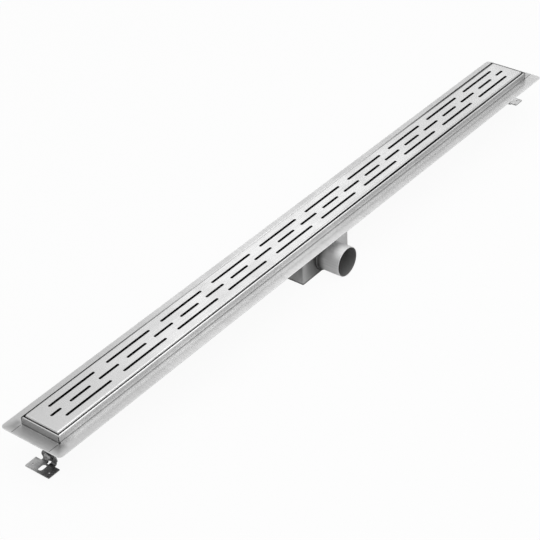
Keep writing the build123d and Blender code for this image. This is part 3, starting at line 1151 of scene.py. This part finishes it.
@dataclass
class LevellingFoot(Piece):
    """A foot with its lug and clamp screw.

    Attributes:
        end: End of the channel that it is under.
        axis_height: Height of the screw's axis, in millimetres.
        seat: X of the seat of the screw's head.
        tail: X of the screw's tail.
        head_radius: Radius of the head.
        head_height: Height of the head.
        head_edge: Height of the head's upright edge.
        head_break: Radius taken off the edge where it meets the seat.
        major_radius: Radius over the thread's crests.
        minor_radius: Radius in its valleys.
        pitch: Pitch of the thread.
        recess_arm: Half length of an arm of the cross recess.
        recess_half: Half width of an arm.
        recess_depth: Depth of the recess.
        recess_slope: Width over which a wall of the recess slopes.
        recess_run: Length over which its floor rises towards the tip of an arm.
        steel: Finish of the lug and the bracket.
        zinc: Finish of the screw and the nut.
        washer_zinc: Finish of the washer.
        weld: Finish of the beads on the lug.
    """

    end: End
    axis_height: float = 15.0
    seat: float = 477.5
    tail: float = 466.5
    head_radius: float = 4.8
    head_height: float = 3.2
    head_edge: float = 0.9
    head_break: float = 0.25
    major_radius: float = 2.5
    minor_radius: float = 2.05
    pitch: float = 0.8
    recess_arm: float = 2.5
    recess_half: float = 0.55
    recess_depth: float = 1.5
    recess_slope: float = 0.22
    recess_run: float = 0.9
    # Painted shade on the foot, towards its front and bend, and over the far foot.
    steel: Finish = MillSteel("foot_sheet", 0.78, 0.28, dark_tone=0.42, stain=0.7)
    zinc: Finish = MillSteel("zinc_plating", 0.56, 0.20, dark_tone=0.04, patch_scale=500.0,
                             grain_scale=2200.0, patch_share=0.5)
    washer_zinc: Finish = MillSteel("washer_plating", 0.26, 0.26, dark_tone=0.04,
                                    patch_scale=500.0, grain_scale=2200.0)
    weld: Finish = WeldMetal("lug_weld", 0.36, 0.36, dark_tone=0.10)

    def build(self) -> None:
        """Dress the foot and add its screw and the two short beads that hold the lug's tab."""
        prefix, side = self.end.prefix, self.end.value
        for part, finish in (("lug", self.steel), ("bracket", self.steel),
                             ("washer", self.washer_zinc), ("nut", self.zinc)):
            self.dress(f"{prefix}_foot_{part}", finish)
        body = Body[f"{self.end.name}_FOOT"]
        screw = self.add(f"{prefix}_clamp_screw", self.screw(), self.zinc, body, Slot.FOOT)
        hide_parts(f"{prefix}_foot_screw")
        start, stop, tab_edge, z = side * 459.5, side * 470.0, 8.1, 41.8
        for sign, word in SIDES:
            self.lay_bead(f"{prefix}_{word}_lug_weld", WeldBead(
                ((start, sign * tab_edge, z), (stop, sign * tab_edge, z)), across=0.8,
                proud=0.7, outward=always(0, sign, -1), ripple=1.2), Slot.FOOT)

    def place(self, along: float, radius: float, turn: float) -> Vector:
        """Point about the screw's axis.

        Args:
            along: Distance from the middle of the channel, in millimetres.
            radius: Distance from the axis.
            turn: Angle about the axis.

        Returns:
            The point, in metres.
        """
        side = self.end.value
        return Vector((side * along, side * radius * math.cos(turn),
                       self.axis_height + radius * math.sin(turn))) * MM

    def thread_radius(self, along: float, turn: float) -> float:
        """Radius of the threaded shank.

        Args:
            along: Distance along the screw, in millimetres.
            turn: Angle about the axis.

        Returns:
            The radius, in millimetres.
        """
        crest_width, flank_slope, plain_tail = 1.9, 4.4, 0.3
        phase = (along / self.pitch - turn / math.tau) % 1.0
        crest = within_one(crest_width - abs(phase - 0.5) * flank_slope)
        fade = within_one(along - self.tail - plain_tail)
        return self.minor_radius + (self.major_radius - self.minor_radius) * crest * fade

    def recess(self, across: float, up: float) -> float:
        """Depth of the cross recess at a point of the head.

        Args:
            across: One coordinate on the head, in millimetres.
            up: The other.

        Returns:
            The depth, in millimetres.
        """
        turned = ((across + up) / math.sqrt(2), (across - up) / math.sqrt(2))
        best = 0.0
        for along, aside in (turned, turned[::-1]):
            wide = within_one((self.recess_half - abs(aside)) / self.recess_slope + 0.5)
            long = within_one((self.recess_arm - abs(along)) / self.recess_run)
            best = max(best, wide * long)
        return best * self.recess_depth

    def screw(self, around: int = 72, head_rings: int = 22,
              rings_per_pitch: int = 8) -> bmesh.types.BMesh:
        """Pan-head screw with a cross recess and a cut thread.

        Args:
            around: Points round the axis.
            head_rings: Rings over the top of the head.
            rings_per_pitch: Rings in each pitch of the thread.

        Returns:
            The screw.
        """
        tail_share, side_bulge, top_bulge, tip_radius = 0.8, 0.75, 0.8, 0.05
        turns = [k * math.tau / around for k in range(around)]
        rings = [[self.place(self.tail, self.minor_radius * tail_share, turn) for turn in turns]]
        steps = round((self.seat - self.tail) / self.pitch * rings_per_pitch)
        for i in range(steps + 1):
            along = self.tail + (self.seat - self.tail) * i / steps
            rings.append([self.place(along, self.thread_radius(along, turn), turn)
                          for turn in turns])
        for radius, along in ((self.head_radius - self.head_break, 0.0),
                              (self.head_radius, self.head_break),
                              (self.head_radius, self.head_edge)):
            rings.append([self.place(self.seat + along, radius, turn) for turn in turns])
        for i in range(1, head_rings + 1):
            lean = i / head_rings * math.pi / 2
            radius = max(self.head_radius * math.cos(lean) ** side_bulge, tip_radius)
            crown = (self.head_height - self.head_edge) * math.sin(lean) ** top_bulge
            top = self.head_edge + crown
            rings.append([
                self.place(self.seat + top - self.recess(radius * math.cos(turn),
                                                         radius * math.sin(turn)), radius, turn)
                for turn in turns])
        return rings_to_mesh(rings, False)


@dataclass(frozen=True)
class Lamp:
    """A soft rectangular lamp.

    Attributes:
        name: Its name.
        place: Where it hangs, in metres.
        size: Its sides, in metres.
        power: Its power in watts.
    """

    name: str
    place: Point
    size: tuple[float, float]
    power: float

    def build(self) -> None:
        """Hang the lamp, facing the drain."""
        data = bpy.data.lights.new(self.name, "AREA")
        data.shape = "RECTANGLE"
        data.size, data.size_y = self.size
        data.energy = self.power
        lamp = bpy.data.objects.new(self.name, data)
        lamp.location = self.place
        ahead = Vector(LAMP_AIM) - Vector(self.place)
        lamp.rotation_euler = ahead.to_track_quat("-Z", "Y").to_euler()
        bpy.context.scene.collection.objects.link(lamp)


@dataclass
class Studio:
    """Pale floor, soft light and the photograph's camera.

    Attributes:
        camera_place: Where the camera stands, in metres.
        camera_turn: Its rotation, in degrees.
        lens: Its focal length on a 36 mm sensor.
        floor_size: Half the side of the floor, in metres.
        sky: Strength of the world's light on the object.
        backdrop: Level that metal sees in place of the backdrop.
        shown: Share of plain white in the floor that the camera sees.
        mirrored: Share of plain white in the floor that metal sees.
        lamps: The lamps.
    """

    camera_place: Point = (-1.3575292, -1.0503958, 1.1996571)
    camera_turn: Point = (54.742083, 2.352494, -52.209077)
    lens: float = 109.0568
    floor_size: float = 9.0
    sky: float = 0.3
    backdrop: float = 0.52
    shown: float = 0.94
    mirrored: float = 0.1
    lamps: tuple[Lamp, ...] = (
        Lamp("overhead_light", (0.0, 0.0, 2.5), size=(4.0, 4.0), power=34.0),
        Lamp("back_light", (1.611, 1.352, 1.528), size=(1.0, 0.75), power=2.65),
        Lamp("far_light", (2.66, 0.813, 1.124), size=(0.9, 0.7), power=2.65),
        Lamp("front_light", (1.764, -1.282, 1.416), size=(1.0, 0.8), power=2.6),
        Lamp("outlet_light", (1.153, -1.587, 1.706), size=(1.0, 0.8), power=4.8),
        Lamp("near_light", (-1.6, 0.056, 2.049), size=(1.6, 1.0), power=4.5),
        Lamp("fill_light", (-0.29, -1.65, 1.99), size=(1.6, 1.0), power=7.0))

    def build(self) -> None:
        """Set up the camera, the floor, the world and the lamps."""
        self.camera()
        self.floor()
        self.world()
        for lamp in self.lamps:
            lamp.build()
        bpy.context.scene.view_settings.view_transform = "Standard"

    def camera(self) -> None:
        """Place the camera where the photograph was taken from."""
        data = bpy.data.cameras.new("photo_camera")
        data.sensor_width = 36.0
        data.lens = self.lens
        data.clip_start, data.clip_end = 0.01, 60.0
        camera = bpy.data.objects.new("photo_camera", data)
        camera.location = self.camera_place
        camera.rotation_euler = Euler([math.radians(turn) for turn in self.camera_turn])
        bpy.context.scene.collection.objects.link(camera)
        bpy.context.scene.camera = camera

    @staticmethod
    def background_rays(board: NodeBoard) -> tuple[Value, Value]:
        """Masks of the camera's rays, and of those that metal and glass send on."""
        seen, glossy, through = (
            board.value("ShaderNodeLightPath", {}, f"Is {kind} Ray")
            for kind in ("Camera", "Glossy", "Transmission"))
        return seen, glossy.most(through)

    def floor(self) -> None:
        """Plain pale floor with a slight bow up at its rim."""
        flat, bow = self.floor_size * 0.7, 0.04
        bm = bmesh.new()
        bmesh.ops.create_grid(bm, x_segments=24, y_segments=24, size=self.floor_size)
        for vertex in bm.verts:
            vertex.co.z = max(0.0, vertex.co.length - flat) ** 2 * bow
        mesh = bpy.data.meshes.new("floor")
        bm.to_mesh(mesh)
        bm.free()
        material = bpy.data.materials.new("pale_floor")
        material.use_nodes = True
        board = NodeBoard(material.node_tree)
        seen, mirrored = self.background_rays(board)
        matt = board.value("ShaderNodeBsdfDiffuse", {"Color": grey(0.85)})
        glow = board.value("ShaderNodeEmission", {"Color": grey(1.0), "Strength": 1.0})
        share = (seen * self.shown).most(mirrored * self.mirrored)
        board.show(board.mix_shaders(share, matt, glow))
        mesh.materials.append(material)
        floor = bpy.data.objects.new("floor", mesh)
        bpy.context.scene.collection.objects.link(floor)

    def world(self) -> None:
        """White surroundings, a little darker for what the object's sides mirror."""
        world = bpy.data.worlds.new("studio")
        world.use_nodes = True
        bpy.context.scene.world = world
        board = NodeBoard(world.node_tree)
        seen, mirrored = self.background_rays(board)
        sky, backdrop, white = (
            board.value("ShaderNodeBackground", {"Color": grey(1.0), "Strength": strength})
            for strength in (self.sky, self.backdrop, 1.0))
        unseen = board.mix_shaders(mirrored, sky, backdrop)
        board.show(board.mix_shaders(seen, unseen, white), "ShaderNodeOutputWorld")


def main() -> None:
    """Build every part of the scene in order."""
    logging.basicConfig(level=logging.INFO, format="%(name)s: %(message)s")
    Effects().build()
    for part in (Channel(), Cover(), TrapBox(), OdourTrap(), LevellingFoot(End.NEAR),
                 LevellingFoot(End.FAR), Studio()):
        part.build()


if __name__ == "__main__":
    main()
